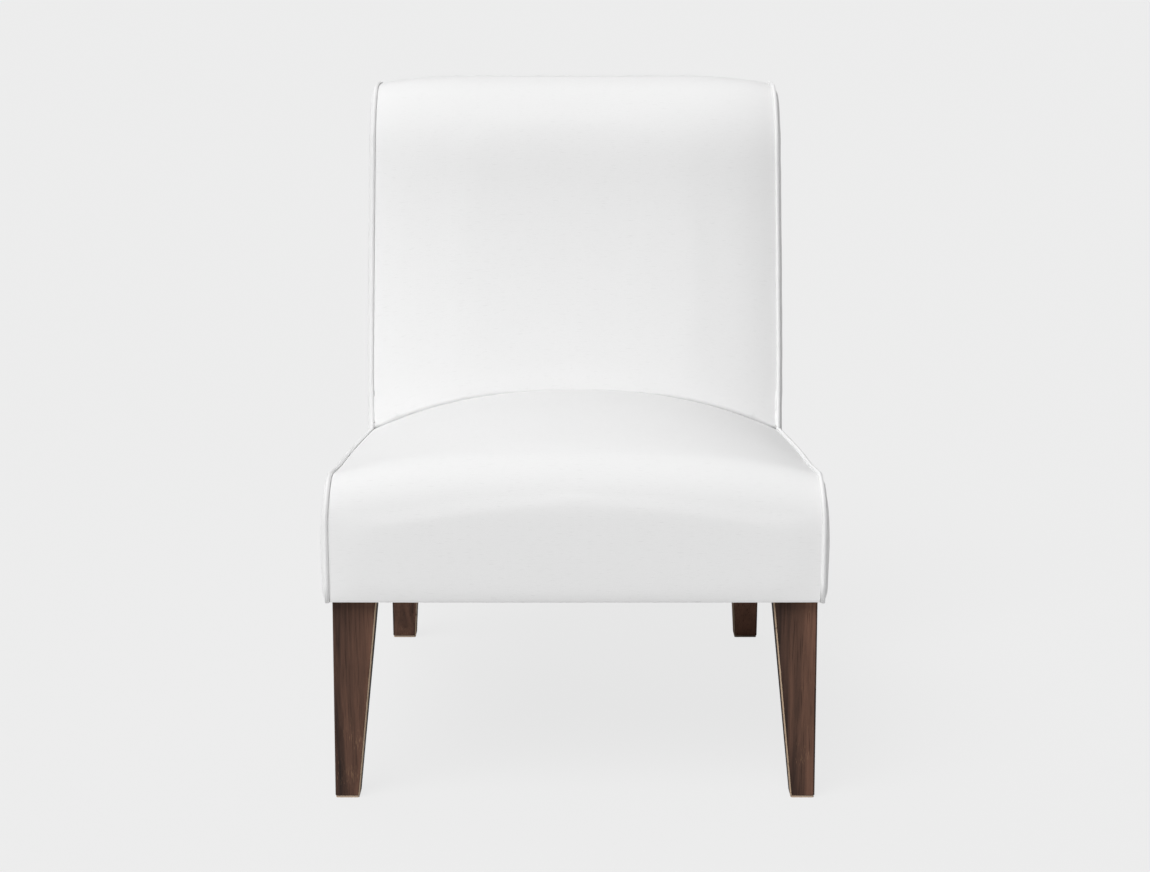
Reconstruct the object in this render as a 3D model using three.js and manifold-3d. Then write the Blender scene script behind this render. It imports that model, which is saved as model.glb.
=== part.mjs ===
// Armless slipper chair: a sprung seat and a padded back in tight covers, on four tapered wooden legs.
// Millimetres. X runs across the chair, Y from its front to its back and Z up from the floor.
import * as THREE from 'three';
import { mergeVertices } from 'three/addons/utils/BufferGeometryUtils.js';
import Module from 'manifold-3d';

const wasm = await Module();
wasm.setup();

// Driving dimensions: runs are measured back from the front seam, heights up from the floor
const cover_bottom = 238;         // floor to the bottom edge of the covers
const front_half_width = 278;     // middle of the chair to the side seam, at the front bottom corner
const rear_narrowing = 8;         // how much closer the side seam is at the rear than at the front
const top_narrowing = 4;          // how much closer the side seam is at the top than at the bottom
const seat_edge_height = 141;     // bottom of the covers to the seat's side seam, at the front
const seat_run = 472;             // front seam to the foot of the back
const seat_fall_share = 0.092;    // how far the seat's side seam drops for each length that it runs back
const back_height = 450;          // foot of the back to the top of its side seam
const back_lean = 85;             // how far the back's front seam leans over its sweep
const back_top_depth = 125;       // front of the back to its rear, at the top
const bottom_run = 610;           // front seam to rear seam, along the bottom edge of the covers

// Curves of the side seam
const front_roll_depth = 37;      // waterfall front: how far the seam rolls back
const front_roll_height = 49;     // and how far it rises meanwhile
const back_roll_depth = 60;       // top of the back: how far the seam rolls back
const back_roll_height = 95;      // and how far it rises meanwhile
const rear_corner_radius = 20;
const sweep_power = 1.8;          // how quickly the back's sweep straightens towards its top

// Soft shapes: how far the covers stand beyond the side seams
const seat_crown = 68;
const seat_crown_power = 2.7;     // fullness of the crown across the seat
const back_pillow = 26;
const back_pillow_power = 5;
const outside_back_bulge = 5;
const side_bulge = 6;
const side_rim_share = 0.8;       // how much of the rear corner's radius the side panels' round rim takes

// Cloth, padding and clearances
const cloth = 1.5;
const joint_gap = 0.3;            // between neighbours that touch or are glued
const tuck_gap = 0.6;             // between the seat cover and the back cover that lies on it
const webbing_gap = 0.8;          // between the webbing and the foam in front of it
const welt_radius = 2.5;
const welt_sides = 6;
const side_padding = 5;           // wadding between a side frame and its cover, without the bulge
const front_padding = 10;         // foam in front of the front rail
const back_padding = 45;          // cover and foam in front of the back's webbing
const rear_padding = 5;           // wadding behind the back posts
const top_padding = 30;           // cover and foam over the back posts

// Frame timbers
const board = 22;                 // thickness of every board
const timber_rise = 2;            // underside of the frame above the covers' bottom edge
const front_rail_height = 82;
const rear_rail_height = 46;
const front_block_depth = 45;
const rear_block_depth = 50;
const rear_block_overhang = 26;   // rear block past the inner side of its leg
const top_rail_height = 60;
const lower_rail_height = 42;
const lower_rail_lift = 8;        // underside of the lower back rail above the foot of the back

// Legs: the top stands in from the side seam, and the foot stands out and back from the top
const front_leg = { top_inset: 4.1, splay: 2.9, rake: 0, top_width: 47, foot_width: 28.3,
  top_depth: 33, foot_depth: 22 };
const rear_leg = { top_inset: 13.3, splay: 3.7, rake: 61, top_width: 45, foot_width: 32.8,
  top_depth: 38, foot_depth: 23 };
const arris = 1.5;                // bevel along the legs' long edges
const foot_pad_height = 2.3;
const foot_pad_margin = 0.8;      // a pad is this much smaller than its foot all round

// Bolts that hold the legs
const bolt_radius = 4;
const bolt_in_leg = 38;
const bolt_in_block = 22;
const insert_radius = 6;
const insert_length = 15;
const bore_clearance = 0.3;
const bore_sides = 12;

// Springs, their clips, the sheets and the webbing
const spring_count = 4;
const spring_margin = 76;         // side rail to the middle of the nearest spring, at the rear
const wire_radius = 1.9;
const spring_half_width = 22;
const spring_pitch = 24;          // one bar of a spring to the next
const spring_arch = 22;
const bar_share = 0.6;            // straight part of a bar
const wire_sides = 4;
const steps_per_bar = 4;
const clip_width = 14;
const clip_sheet = 1.2;
const clip_foot = 8;
const clip_slack = 1.2;           // between a spring's end bar and the bend of its clip
const insulator_sheet = 2.5;
const deck_flat_share = 0.78;     // the insulator lies flat over the springs this far across
const deck_edge_share = 0.95;     // and is down on the side rails from here
const webbing_sheet = 1.5;
const webbing_width = 50;
const webbing_height_shares = [0.3, 0.56, 0.82];
const webbing_overlap = 16;       // webbing on the face of each post
const dust_sheet = 1;
const dust_margin = 4;            // dust cover inside the side seam
const dust_notch = 3;             // dust cover clear of each leg

// Stations along each stretch of the seams, and the share of the crown or pillow that stands there
const front_station_shares = [0, 0.4, 0.75, 1];
const front_crown_shares = [0.02, 0.04, 0.05, 0.055];
const roll_station_shares = [0.17, 0.34, 0.5, 0.67, 0.84, 1];
const roll_crown_shares = [0.08, 0.13, 0.19, 0.26, 0.34, 0.43];
const seat_station_shares = [0.06, 0.14, 0.24, 0.36, 0.5, 0.64, 0.78, 0.9, 1];
const seat_crown_shares = [0.53, 0.7, 0.86, 0.97, 1, 0.97, 0.9, 0.81, 0.73];
const tuck_station_shares = [0.5, 1];
const tuck_crown_shares = [0.69, 0.65];
const sweep_station_shares = [0, 0.13, 0.26, 0.39, 0.52, 0.65, 0.78, 0.9];
const sweep_pillow_shares = [1, 1, 0.98, 0.96, 0.93, 0.9, 0.87, 0.84];
const top_roll_station_shares = [0, 0.2, 0.4, 0.6, 0.8, 1];
const top_roll_pillow_shares = [0.81, 0.76, 0.69, 0.61, 0.54, 0.5];
const corner_station_shares = [0, 0.33, 0.67, 1];
const corner_pillow_shares = [0.46, 0.36, 0.27, 0.2];
const rear_station_shares = [0, 0.25, 0.5, 0.75, 1];
const rear_bulge_shares = [1, 0.95, 0.85, 0.7, 0.35];
const underside_station_shares = [1, 0.85, 0.7, 0.55, 0.4, 0.25, 0.1, 0];
const column_shares = [-1, -0.97, -0.9, -0.78, -0.6, -0.35, 0, 0.35, 0.6, 0.78, 0.9, 0.97, 1];
const rim_station_shares = [0, 0.3, 0.65, 1];
const rim_bulge_shares = [0, 0.5, 0.85, 1];
const run_over_height_share = 1.7;   // weight of a face's run over its height in choosing how it is split

// Places worked out from the driving dimensions
const seat_top = cover_bottom + seat_edge_height;
const back_foot = seat_top - seat_fall_share * (seat_run - front_roll_depth);
const back_top = back_foot + back_height;
const sweep_height = back_height - back_roll_height;
const roll_front = seat_run + back_lean;
const rear_top = roll_front + back_top_depth;
const timber_bottom = cover_bottom + timber_rise;
const post_top = back_top - top_padding;

// Clearances in from the side seam
const cover_edge = welt_radius + joint_gap;
const frame_side = cloth + joint_gap + side_padding + joint_gap;
const frame_inner = frame_side + board + joint_gap;
const side_rim = side_rim_share * (rear_corner_radius - cover_edge - cloth - joint_gap);

const mix = THREE.MathUtils.lerp;
const quarter_turn = Math.PI / 2;

// A place on the chair's side view: x holds the run and y the height.
const spot = (run, height) => new THREE.Vector2(run, height);

// Both sides lean in as flat planes, so this is linear in the run and the height.
function halfWidth(run, height) {
  const lost_behind = rear_narrowing * run / rear_top;
  const lost_above = top_narrowing * (height - cover_bottom) / (back_top - cover_bottom);
  return front_half_width - lost_behind - lost_above;
}

// Stretches of the side seam, each by its share from the front bottom corner onwards
const frontSeam = (share) => spot(0, mix(cover_bottom, seat_top - front_roll_height, share));

function frontRoll(share) {
  const turn = share * quarter_turn;
  const height = seat_top - front_roll_height * (1 - Math.sin(turn));
  return spot(front_roll_depth * (1 - Math.cos(turn)), height);
}

const seatSeam = (run) => spot(run, seat_top - seat_fall_share * (run - front_roll_depth));

function sweep(share) {
  const lean = back_lean * (1 - (1 - share) ** sweep_power);
  return spot(seat_run + lean, back_foot + sweep_height * share);
}

function topRoll(share) {
  const turn = share * quarter_turn;
  const height = back_top - back_roll_height * (1 - Math.sin(turn));
  return spot(roll_front + back_roll_depth * (1 - Math.cos(turn)), height);
}

function rearCorner(share) {
  const turn = share * quarter_turn;
  const run = rear_top - rear_corner_radius * (1 - Math.sin(turn));
  return spot(run, back_top - rear_corner_radius * (1 - Math.cos(turn)));
}

function rearSeam(height) {
  const share = (height - cover_bottom) / (back_top - rear_corner_radius - cover_bottom);
  return spot(mix(bottom_run, rear_top, share), height);
}

// Unit vector to the left of the way from one spot to another, which is outwards along the seams
function leftOf(from, to) {
  const way = to.clone().sub(from).normalize();
  return spot(-way.y, way.x);
}

// Outward normals of a line of spots, long enough at each corner to keep its sides parallel
function miters(line, closed) {
  return line.map((point, i) => {
    const before = line[i - 1] ?? (closed ? line.at(-1) : null);
    const after = line[i + 1] ?? (closed ? line[0] : null);
    const first = leftOf(before ?? point, before ? point : after);
    const second = after ? leftOf(point, after) : first;
    const middle = first.clone().add(second).normalize();
    return middle.divideScalar(middle.dot(first));
  });
}

// The line moved outwards by a distance, or inwards where that is negative
function offset(line, distance, closed = false) {
  const normals = miters(line, closed);
  return line.map((point, i) => point.clone().addScaledVector(normals[i], distance));
}

// The line with each spot moved out by its own distance
function swell(line, distances) {
  const normals = miters(line, false);
  return line.map((point, i) => point.clone().addScaledVector(normals[i].normalize(), distances[i]));
}

// Height of a line at a run, or run of a line at a height, between its spots
function along(line, value, from, to) {
  const i = Math.max(1, line.findIndex((point, k) => k > 0 && point[from] >= value));
  const share = (value - line[i - 1][from]) / (line[i][from] - line[i - 1][from]);
  return mix(line[i - 1][to], line[i][to], share);
}

// Share between 0 and 1 where a rising function passes zero
function crossing(rising) {
  let low = 0;
  let high = 1;
  while (high - low > Number.EPSILON * 2 ** 20) {
    const middle = (low + high) / 2;
    if (rising(middle) < 0) {
      low = middle;
    } else {
      high = middle;
    }
  }
  return high;
}

// Geometry

// Triangles that close a flat ring of points, each turned the way that the ring runs
function capFaces(ring) {
  const normal = new THREE.Vector3();
  ring.forEach((point, i) => normal.add(point.clone().cross(ring[(i + 1) % ring.length])));
  const sizes = normal.toArray().map(Math.abs);
  const axis = sizes.indexOf(Math.max(...sizes));
  const flat = ring.map((point) => {
    const values = point.toArray();
    return new THREE.Vector2(values[(axis + 1) % 3], values[(axis + 2) % 3]);
  });
  const faces = THREE.ShapeUtils.triangulateShape(flat, []);
  return THREE.ShapeUtils.isClockWise(flat) ? faces.map((face) => face.reverse()) : faces;
}

// The same for a sheet's ring, which runs out on one surface and back on the other: straight across it
const sheetFaces = (ring) => ring.slice(1, ring.length / 2).flatMap((_, i) => {
  const across = ring.length - 1 - i;
  return [[i, i + 1, across - 1], [i, across - 1, across]];
});

// Turns a closed geometry's faces outwards, whichever way it was built.
function facingOut(geometry) {
  const places = geometry.attributes.position;
  const index = geometry.index.array;
  const corners = [new THREE.Vector3(), new THREE.Vector3(), new THREE.Vector3()];
  let volume = 0;
  for (let i = 0; i < index.length; i += 3) {
    corners.forEach((corner, k) => corner.fromBufferAttribute(places, index[i + k]));
    volume += corners[0].dot(corners[1].cross(corners[2]));
  }
  if (volume < 0) {
    for (let i = 0; i < index.length; i += 3) {
      [index[i], index[i + 1]] = [index[i + 1], index[i]];
    }
  }
  return geometry;
}

// Which way a four-sided face is split depends on how it lies in space and not on the order of its ring,
// so that two parallel surfaces have parallel triangles and keep their gap where they are twisted.
function splitsForward(here, next, beyond) {
  const way = next.clone().sub(here);
  const rises = run_over_height_share * way.y + way.z >= 0;
  return rises === (Math.abs(beyond.x) >= Math.abs(here.x));
}

// A closed solid through rings of as many points each, capped at both ends
function loft(rings, endFaces = capFaces) {
  const count = rings[0].length;
  const index = [];
  for (let j = 0; j + 1 < rings.length; j += 1) {
    for (let i = 0; i < count; i += 1) {
      const k = (i + 1) % count;
      const here = j * count + i;
      const next = j * count + k;
      if (splitsForward(rings[j][i], rings[j][k], rings[j + 1][i])) {
        index.push(here, next, next + count, here, next + count, here + count);
      } else {
        index.push(here, next, here + count, next, next + count, here + count);
      }
    }
  }
  const last = (rings.length - 1) * count;
  endFaces(rings[0]).forEach(([a, b, c]) => index.push(c, b, a));
  endFaces(rings.at(-1)).forEach(([a, b, c]) => index.push(a + last, b + last, c + last));
  const geometry = new THREE.BufferGeometry().setFromPoints(rings.flat());
  geometry.setIndex(index);
  return facingOut(geometry);
}

// A ring of the side view, placed across the chair at an inset from one side seam
function ringAcross(line, side, insets) {
  return line.map((point, i) => {
    const inset = Array.isArray(insets) ? insets[i] : insets;
    return new THREE.Vector3(side * (halfWidth(point.x, point.y) - inset), point.x, point.y);
  });
}

// A timber or sheet between two insets from one side, with the same side view all through
const sidePiece = (line, side, outer, inner) => loft([
  ringAcross(line, side, outer), ringAcross(line, side, inner)]);

// A timber or sheet from side to side
const crossPiece = (line, inset) => loft([ringAcross(line, -1, inset), ringAcross(line, 1, inset)]);

// A soft piece from side to side: lineAt gives its ring at each column, and insets its ends
function softPiece(lineAt, insets, endFaces = capFaces) {
  return loft(column_shares.map((column) => ringAcross(lineAt(column), column, insets)), endFaces);
}

// An upright solid between level sections given as outlines of [x, y]
const uprightPiece = (sections) => loft(sections.map(({ outline, height }) => outline
  .map(([x, y]) => new THREE.Vector3(x, y, height))));

// A closed geometry as a solid for cutting
function solidOf(geometry) {
  const bare = geometry.clone();
  bare.deleteAttribute('normal');
  bare.deleteAttribute('uv');
  const merged = mergeVertices(bare);
  return new wasm.Manifold(new wasm.Mesh({
    numProp: 3,
    vertProperties: new Float32Array(merged.attributes.position.array),
    triVerts: new Uint32Array(merged.index.array),
  }));
}

function cut(geometry, ...tools) {
  const whole = tools.reduce((solid, tool) => solid.subtract(solidOf(tool)), solidOf(geometry));
  const mesh = whole.getMesh();
  const result = new THREE.BufferGeometry();
  result.setAttribute('position', new THREE.BufferAttribute(new Float32Array(mesh.vertProperties), 3));
  result.setIndex([...mesh.triVerts]);
  return result;
}

// An upright round bar or hole
function roundBar(radius, x, y, from, to) {
  const bar = new THREE.CylinderGeometry(radius, radius, to - from, bore_sides);
  bar.rotateX(quarter_turn);
  bar.translate(x, y, (from + to) / 2);
  return bar;
}

// Materials
const paint = (color, roughness, metalness = 0) => new THREE.MeshStandardMaterial(
  { color, roughness, metalness });
const cover_cloth = paint(0xf2f2f0, 0.9);
const welt_cloth = paint(0xf6f6f4, 0.9);
const stained_walnut = paint(0x4a2f22, 0.45);
const frame_timber = paint(0xc9a878, 0.7);
const upholstery_foam = paint(0xe9dfb4, 0.95);
const polyester_wadding = paint(0xf3f1ea, 0.95);
const felt_sheet = paint(0x9a958a, 0.95);
const spring_steel = paint(0x8c9096, 0.4, 0.9);
const zinc_steel = paint(0xb9bcc0, 0.35, 0.9);
const jute_webbing = paint(0xa58b5c, 0.9);
const black_cambric = paint(0x1c1c1e, 0.9);
const pale_pad = paint(0xcdbb9b, 0.7);

const chair = new THREE.Group();

function add(name, geometry, material) {
  const mesh = new THREE.Mesh(geometry, material);
  mesh.name = name;
  chair.add(mesh);
  return mesh;
}

const sides = [['left', -1], ['right', 1]];

// Seams as lines of stations, and the covers' surfaces over them at each column
const crownAt = (column) => seat_crown * (1 - Math.abs(column) ** seat_crown_power);
const pillowAt = (column) => back_pillow * (1 - Math.abs(column) ** back_pillow_power);
const bulgeAt = (column) => outside_back_bulge * (1 - Math.abs(column) ** back_pillow_power);

const sweep_line = [...sweep_station_shares, 1].map(sweep);
const post_front = offset(sweep_line, -(back_padding + webbing_gap + webbing_sheet + joint_gap));
const post_foot_front = post_front[0].x;
const tuck_end = post_foot_front - joint_gap;

const seat_line = [
  ...front_station_shares.map(frontSeam),
  ...roll_station_shares.map(frontRoll),
  ...seat_station_shares.map((share) => seatSeam(mix(front_roll_depth, seat_run, share))),
  ...tuck_station_shares.map((share) => seatSeam(mix(seat_run, tuck_end, share))),
];
const seat_rises = [...front_crown_shares, ...roll_crown_shares, ...seat_crown_shares, ...tuck_crown_shares];
const tuck_stations = tuck_station_shares.length + 1;

// The seat's surface at a column, from the front bottom edge to the tuck under the back
const seatSurface = (column) => swell(seat_line, seat_rises.map((rise) => rise * crownAt(column)))
  .map((point) => spot(Math.min(point.x, tuck_end), point.y));

const top_line = [
  ...top_roll_station_shares.map(topRoll),
  ...corner_station_shares.map(rearCorner),
];
const back_rises = [...sweep_pillow_shares, ...top_roll_pillow_shares, ...corner_pillow_shares];

// The back's surface at a column: from its tuck, over the seat, up the sweep and over the top
function backSurface(column) {
  const seat = seatSurface(column).slice(-tuck_stations - tuck_stations);
  const seatHeight = (run) => along(seat, run, 'x', 'y') + tuck_gap;
  const pillow = pillowAt(column);
  const swept = (start) => swell(
    [...sweep_station_shares.map((share) => sweep(mix(start, 1, share))), ...top_line],
    back_rises.map((rise) => rise * pillow),
  );
  const start = crossing((share) => {
    const foot = swept(share)[0];
    return foot.y - seatHeight(foot.x);
  });
  const tuck = seat.slice(1 - tuck_stations).reverse().map((point) => spot(point.x, seatHeight(point.x)));
  return [...tuck, ...swept(start)];
}

// The outside back's surface at a column, between two heights
function rearSurface(column, from, to) {
  const line = rear_station_shares.map((share) => rearSeam(mix(from, to, share)));
  return swell(line, rear_bulge_shares.map((rise) => rise * bulgeAt(column)));
}
const rearFrame = (height) => rearSeam(height).x - cloth - joint_gap - rear_padding - joint_gap;

// Side frames and cross rails
const frame_front = cloth + joint_gap + front_padding + joint_gap;
const rear_frame = rearFrame(timber_bottom);

// Top of the seat frame, which falls from the front rail to the rear rail
function railTop(run) {
  const share = (run - frame_front) / (rear_frame - frame_front);
  return timber_bottom + mix(front_rail_height, rear_rail_height, share);
}

const railSection = (from, to) => [
  spot(from, timber_bottom), spot(to, timber_bottom), spot(to, railTop(to)), spot(from, railTop(from))];

const post_top_front = post_front.at(-1).x;
const post_outline = [
  spot(post_foot_front, timber_bottom),
  ...post_front,
  spot(post_top_front, post_top),
  spot(rearFrame(post_top), post_top),
  spot(rear_frame, timber_bottom),
];
const front_block_rear = frame_front + front_block_depth;
const rear_block_front = rear_frame - rear_block_depth;
const front_block_inner = front_leg.top_inset + front_leg.top_width;
const rear_leg_inner = rear_leg.top_inset + rear_leg.top_width;
const rear_block_inner = rear_leg_inner + rear_block_overhang;

const front_rail = crossPiece(railSection(frame_front, frame_front + board), front_block_inner + joint_gap);
add('front_seat_rail', front_rail, frame_timber);
const rear_rail = crossPiece(railSection(rear_frame - board, rear_frame), rear_block_inner + joint_gap);
add('rear_seat_rail', rear_rail, frame_timber);
for (const [name, side] of sides) {
  const rail = railSection(front_block_rear + joint_gap, post_foot_front - joint_gap);
  add(`${name}_seat_rail`, sidePiece(rail, side, frame_side, frame_side + board), frame_timber);
  add(`${name}_back_post`, sidePiece(post_outline, side, frame_side, frame_side + board), frame_timber);
}

const top_rail = [
  spot(post_top_front, post_top - top_rail_height), spot(post_top_front + board, post_top - top_rail_height),
  spot(post_top_front + board, post_top), spot(post_top_front, post_top)];
add('back_top_rail', crossPiece(top_rail, frame_inner), frame_timber);

const postFront = (height) => along(post_front, height, 'y', 'x');
const lower_rail_bottom = back_foot + lower_rail_lift;
const lower_rail_top = lower_rail_bottom + lower_rail_height;
const lower_rail = [
  spot(postFront(lower_rail_bottom), lower_rail_bottom),
  spot(postFront(lower_rail_bottom) + board, lower_rail_bottom),
  spot(postFront(lower_rail_top) + board, lower_rail_top),
  spot(postFront(lower_rail_top), lower_rail_top)];
add('back_lower_rail', crossPiece(lower_rail, frame_inner), frame_timber);

// Legs, with the block over each, and the insert, bolt and foot pad that go with it
const topOuter = (leg, front) => halfWidth(front, timber_bottom) - leg.top_inset;

function legOutline(leg, side, front, share, margin = 0) {
  const outer = topOuter(leg, front) + leg.splay * share - margin;
  const inner = outer - mix(leg.top_width, leg.foot_width, share) + margin * 2;
  const near = front + leg.rake * share + margin;
  const far = near + mix(leg.top_depth, leg.foot_depth, share) - margin * 2;
  return [
    [inner + arris, near], [outer - arris, near], [outer, near + arris], [outer, far - arris],
    [outer - arris, far], [inner + arris, far], [inner, far - arris], [inner, near + arris],
  ].map(([x, y]) => [side * x, y]);
}

function legSet(name, leg, side, front, bolt_x, block) {
  const leg_top = timber_bottom - joint_gap;
  const bolt_y = front + leg.top_depth / 2;
  const bore = bolt_radius + bore_clearance;
  const tip = leg_top - bolt_in_leg;
  const end = timber_bottom + bolt_in_block;
  const blank = uprightPiece([
    { outline: legOutline(leg, side, front, 1), height: foot_pad_height + joint_gap },
    { outline: legOutline(leg, side, front, 0), height: leg_top },
  ]);
  add(`${name}_leg`, cut(blank, roundBar(bore, bolt_x, bolt_y, tip, leg_top + bore)), stained_walnut);
  const insert_top = timber_bottom + insert_length;
  const insert_bore = roundBar(insert_radius + bore_clearance, bolt_x, bolt_y,
    timber_bottom - bore, insert_top + joint_gap);
  const end_bore = roundBar(bore, bolt_x, bolt_y, timber_bottom, end + joint_gap);
  add(`${name}_block`, cut(block, insert_bore, end_bore), frame_timber);
  const insert = cut(roundBar(insert_radius, bolt_x, bolt_y, timber_bottom, insert_top),
    roundBar(bore, bolt_x, bolt_y, timber_bottom - bore, insert_top + bore));
  add(`${name}_threaded_insert`, insert, zinc_steel);
  const bolt = roundBar(bolt_radius, bolt_x, bolt_y, tip + joint_gap, end);
  add(`${name}_hanger_bolt`, bolt, zinc_steel);
  const pad = uprightPiece([0, foot_pad_height].map((height) => (
    { outline: legOutline(leg, side, front, 1, foot_pad_margin), height })));
  add(`${name}_foot_pad`, pad, pale_pad);
}

// A rear bolt stands halfway between the inner sides of the back post and of its leg.
const front_bolt = topOuter(front_leg, frame_front) - front_leg.top_width / 2;
const rear_bolt = halfWidth(rear_frame, timber_bottom) - (frame_inner + rear_leg_inner) / 2;
const rear_leg_front = rear_frame - rear_leg.top_depth;
for (const [name, side] of sides) {
  const front_block = sidePiece(
    railSection(frame_front, front_block_rear), side, frame_side, front_block_inner);
  legSet(`front_${name}`, front_leg, side, frame_front, side * front_bolt, front_block);
  const rear_block = sidePiece(
    railSection(rear_block_front, rear_frame), side, frame_inner, rear_block_inner);
  legSet(`rear_${name}`, rear_leg, side, rear_leg_front, side * rear_bolt, rear_block);
}

// Sinuous springs from the front rail to the rear rail, each held by a clip at both ends
const first_bar = frame_front + board / 2;
const last_bar = rear_frame - board / 2;
const clip_height = 2 * (clip_sheet + joint_gap + wire_radius);
const clipBase = (run) => railTop(run - clip_foot) + joint_gap;
const deck_lift = clipBase(first_bar) - railTop(first_bar) + clip_height + joint_gap;
const archAt = (run) => spring_arch * Math.sin(Math.PI * (run - first_bar) / (last_bar - first_bar));

// The springs on the left are mirror images of those on the right.
function springWire(x) {
  const bars = Math.round((last_bar - first_bar) / spring_pitch);
  const pitch = (last_bar - first_bar) / bars;
  const wireHeight = (run) => clipBase(run) + clip_height / 2 + archAt(run);
  const first_way = x < 0 ? -1 : 1;
  const points = [];
  for (let k = 0; k <= bars; k += 1) {
    const way = k % 2 ? -first_way : first_way;
    const run = first_bar + k * pitch;
    const place = (reach, y) => new THREE.Vector3(x + way * reach * spring_half_width, y, wireHeight(y));
    points.push(place(-bar_share, run), place(bar_share, run));
    if (k < bars) {
      points.push(place(1, run + pitch / 2));
    }
  }
  const section = new THREE.Shape();
  for (let i = 0; i < wire_sides; i += 1) {
    const turn = 2 * Math.PI * i / wire_sides;
    const corner = [wire_radius * Math.cos(turn), wire_radius * Math.sin(turn)];
    if (i) {
      section.lineTo(...corner);
    } else {
      section.moveTo(...corner);
    }
  }
  return new THREE.ExtrudeGeometry(section, {
    steps: bars * steps_per_bar,
    bevelEnabled: false,
    extrudePath: new THREE.CatmullRomCurve3(points),
  });
}

// A bent strip that goes under and over the end bar and is nailed to the rail; facing is towards the spring
function springClip(x, run, facing) {
  const base = clipBase(run);
  const bend = run - facing * (wire_radius + clip_slack);
  const lip = run + facing * wire_radius;
  const foot = run + facing * clip_foot;
  const profile = [
    [foot, base], [foot, base + clip_sheet], [bend, base + clip_sheet],
    [bend, base + clip_height - clip_sheet], [lip, base + clip_height - clip_sheet],
    [lip, base + clip_height], [bend - facing * clip_sheet, base + clip_height],
    [bend - facing * clip_sheet, base],
  ];
  return loft([-1, 1].map((end) => profile
    .map(([y, z]) => new THREE.Vector3(x + end * clip_width / 2, y, z))));
}

const outer_spring = halfWidth(rear_frame, timber_bottom) - frame_inner - spring_margin;
const spring_spacing = 2 * outer_spring / (spring_count - 1);
for (let k = 0; k < spring_count; k += 1) {
  const x = (k - (spring_count - 1) / 2) * spring_spacing;
  add(`seat_spring_${k + 1}`, springWire(x), spring_steel);
  add(`front_spring_clip_${k + 1}`, springClip(x, first_bar, 1), zinc_steel);
  add(`rear_spring_clip_${k + 1}`, springClip(x, last_bar, -1), zinc_steel);
}

// Sheet of felt over the springs, down on the side rails at its edges
const deckShare = (column) => THREE.MathUtils.clamp(
  (deck_edge_share - Math.abs(column)) / (deck_edge_share - deck_flat_share), 0, 1);
const deckUnderside = (column, lift) => underside_station_shares.map((share) => {
  const run = mix(frame_front, tuck_end, share);
  return spot(run, railTop(run) + joint_gap + lift + deckShare(column) * (deck_lift + archAt(run)));
});
const insulator = softPiece((column) => [
  ...deckUnderside(column, 0), ...deckUnderside(column, insulator_sheet).reverse()], frame_side + joint_gap);
add('spring_insulator', insulator, felt_sheet);

// Webbing across the face of the back posts
webbing_height_shares.forEach((share, k) => {
  const middle = mix(back_foot, post_top, share);
  const faces = [middle - webbing_width / 2, middle + webbing_width / 2].map(
    (height) => spot(along([...post_front, spot(post_top_front, post_top)], height, 'y', 'x'), height));
  const strap = [
    ...offset(faces, joint_gap), ...offset(faces, joint_gap + webbing_sheet).reverse()];
  add(`back_webbing_${k + 1}`, crossPiece(strap, frame_inner - webbing_overlap), jute_webbing);
});

// Foams: each fills the space from the frame to 0.3 mm under its cover
const under_cover = -(cloth + joint_gap);
const seatFoam = (column) => [
  ...offset(seatSurface(column), under_cover).map((point) => spot(point.x, Math.max(point.y, timber_bottom))),
  ...deckUnderside(column, insulator_sheet + joint_gap),
  spot(frame_front - joint_gap, railTop(frame_front) + joint_gap + insulator_sheet),
  spot(frame_front - joint_gap, timber_bottom),
];
add('seat_foam', softPiece(seatFoam, frame_side + joint_gap), upholstery_foam);

const foam_rear = offset(sweep_line, -back_padding);
function backFoam(column) {
  const outer = offset(backSurface(column), under_cover);
  const low = outer[0].y + tuck_gap;
  const inner = sweep_station_shares.map((share) => {
    const height = mix(foam_rear.at(-1).y, low, share);
    return spot(along(foam_rear, height, 'y', 'x'), height);
  });
  const over_post = post_top + joint_gap;
  return [
    ...outer,
    spot(rearSeam(over_post).x + under_cover, over_post),
    spot(foam_rear.at(-1).x, over_post),
    ...inner,
  ];
}
add('back_foam', softPiece(backFoam, frame_side + joint_gap), upholstery_foam);

const rearPadding = (column) => [
  ...offset(rearSurface(column, post_top, timber_bottom), under_cover),
  spot(rear_frame + joint_gap, timber_bottom),
  spot(rearFrame(post_top) + joint_gap, post_top),
];
add('outside_back_padding', softPiece(rearPadding, frame_side + joint_gap), polyester_wadding);

// Covers: cloth shells over the foams, narrower where they are tucked away between the sides
const tuck_side = frame_side + joint_gap;

// A shell from the covers' surface at each column, with its inset at each station
function coverShell(surfaceAt, insets) {
  const ringAt = (column) => {
    const line = surfaceAt(column);
    return [...line, ...offset(line, -cloth).reverse()];
  };
  return softPiece(ringAt, [...insets, ...[...insets].reverse()], sheetFaces);
}

const seat_insets = seat_line.map((_, i) => (i < seat_line.length - tuck_stations ? cover_edge : tuck_side));
add('seat_cover', coverShell(seatSurface, seat_insets), cover_cloth);

const back_insets = backSurface(0).map((_, i) => (i < tuck_stations ? tuck_side : cover_edge));
add('back_cover', coverShell(backSurface, back_insets), cover_cloth);

const rear_cover_top = back_top - rear_corner_radius - cloth;
const outside_back = coverShell(
  (column) => rearSurface(column, rear_cover_top, cover_bottom), rear_station_shares.map(() => cover_edge));
add('outside_back_cover', outside_back, cover_cloth);

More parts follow.
